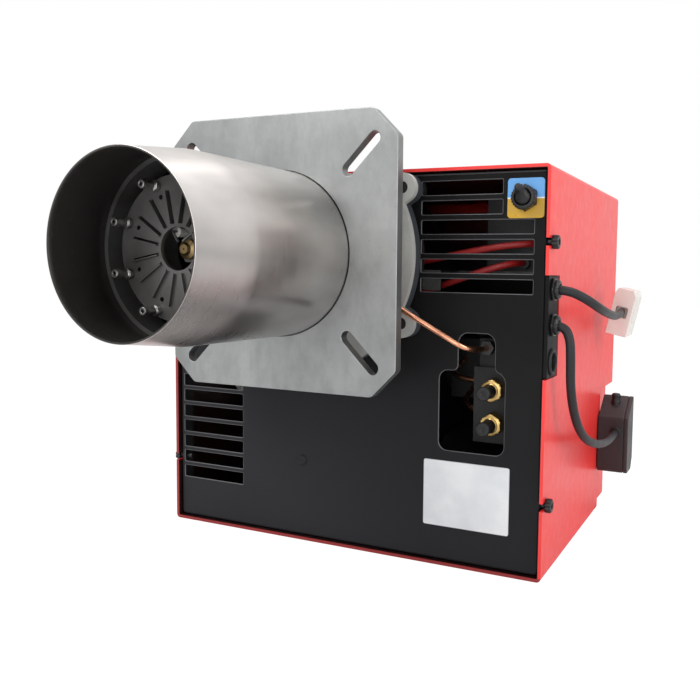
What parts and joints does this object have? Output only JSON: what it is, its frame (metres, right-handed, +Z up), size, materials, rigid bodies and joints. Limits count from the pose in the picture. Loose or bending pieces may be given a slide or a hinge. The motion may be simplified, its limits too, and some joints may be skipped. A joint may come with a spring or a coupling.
{
  "type": "industrial burner",
  "caption": "Forced-draught gas and oil burner: square boiler flange and blast tube ahead of a red box hood, with a slotted front sheet and short plugged cables.",
  "frame": {"origin": "on the blast tube axis at the front face of the boiler flange plate", "axes": "+X to the right seen from the front, -Y along the blast tube towards the boiler, +Z up"},
  "size_m": [0.4495, 0.554, 0.3986],
  "materials": {
    "plate_grey": "satin",
    "tube_steel": "satin",
    "steel": "satin",
    "cast": "cast",
    "black_sheet": "satin",
    "red_paint": "gloss",
    "zinc": "satin",
    "brass": "satin",
    "copper": "satin",
    "ceramic": "glazed",
    "rubber": "matt",
    "red_lead": "matt",
    "black_plastic": "matt",
    "grey_plastic": "matt",
    "white_plastic": "matt",
    "label": "satin",
    "switch_plate": "gloss",
    "gasket": "matt",
    "red_button": "gloss"
  },
  "bodies": {
    "base": {"boiler_flange": "plate_grey", "blast_tube": "tube_steel", "diffuser_disc": "steel", "gas_jets": "steel", "gas_manifold": "steel", "nozzle_line": "steel", "oil_nozzle": "brass", "electrode_insulators": "ceramic", "electrode_rods": "steel", "electrode_clamp": "zinc", "head_casting": "cast", "head_gasket": "gasket", "spacer_ring": "gasket", "head_bolts": "zinc", "front_panel": "black_sheet", "push_cap": "black_plastic", "rating_plate": "label", "switch_plate": "switch_plate", "switch_body": "black_plastic", "hood_screws": "black_plastic", "gland_strip": "zinc", "cable_glands": "grey_plastic", "grommet": "rubber", "cable_mains": "rubber", "plug_white": "white_plastic", "cable_valve": "rubber", "plug_black": "black_plastic", "fan_housing": "cast", "motor_plate": "cast", "motor_body": "cast", "motor_end_cap": "cast", "capacitor": "white_plastic", "inlet_box": "black_sheet", "servomotor": "grey_plastic", "oil_pump": "cast", "oil_manifold": "cast", "solenoid_coils": "black_plastic", "hose_nipples": "brass", "copper_pipe": "copper", "pipe_unions": "brass", "pump_pipes": "copper", "left_shelf": "zinc", "right_shelf": "zinc", "ignition_transformer": "black_plastic", "ignition_lead_a": "red_lead", "ignition_lead_b": "red_lead", "control_box": "black_plastic", "flame_sensor": "grey_plastic"},
    "hood": {"hood": "red_paint"},
    "lever": {"switch_lever": "rubber"},
    "rotor": {"fan_wheel": "zinc", "motor_shaft": "steel", "pump_coupling": "grey_plastic"},
    "damper": {"air_damper": "zinc"},
    "ring": {"air_ring": "steel", "ring_knob": "black_plastic"},
    "button": {"reset_button": "red_button"},
    "cap_upper": {"nipple_cap_upper": "black_plastic"},
    "cap_lower": {"nipple_cap_lower": "black_plastic"}
  },
  "joints": [
    {"name": "hood_slide", "type": "slide", "parent": "base", "child": "hood", "axis": [0, 1, 0], "range_m": [0, 0.34]},
    {"name": "lever_tip", "type": "hinge", "parent": "base", "child": "lever", "pos_m": [0.206, 0.055, 0.0495], "axis": [1, 0, 0], "range_deg": [0, 50]},
    {"name": "fan_spin", "type": "hinge", "parent": "base", "child": "rotor", "pos_m": [0, 0.185, -0.11], "axis": [1, 0, 0], "continuous": true},
    {"name": "damper_turn", "type": "hinge", "parent": "base", "child": "damper", "pos_m": [0.07, 0.185, -0.168], "axis": [0, 1, 0], "range_deg": [0, 90]},
    {"name": "ring_shift", "type": "slide", "parent": "base", "child": "ring", "axis": [0, 1, 0], "range_m": [0, 0.012]},
    {"name": "button_press", "type": "slide", "parent": "base", "child": "button", "axis": [0, -1, 0], "range_m": [0, 0.002], "stiffness_N_per_m": 800, "springref_m": -0.0005},
    {"name": "cap_upper_pull", "type": "slide", "parent": "base", "child": "cap_upper", "axis": [0, -1, 0], "range_m": [0, 0.022]},
    {"name": "cap_lower_pull", "type": "slide", "parent": "base", "child": "cap_lower", "axis": [0, -1, 0], "range_m": [0, 0.022]}
  ]
}
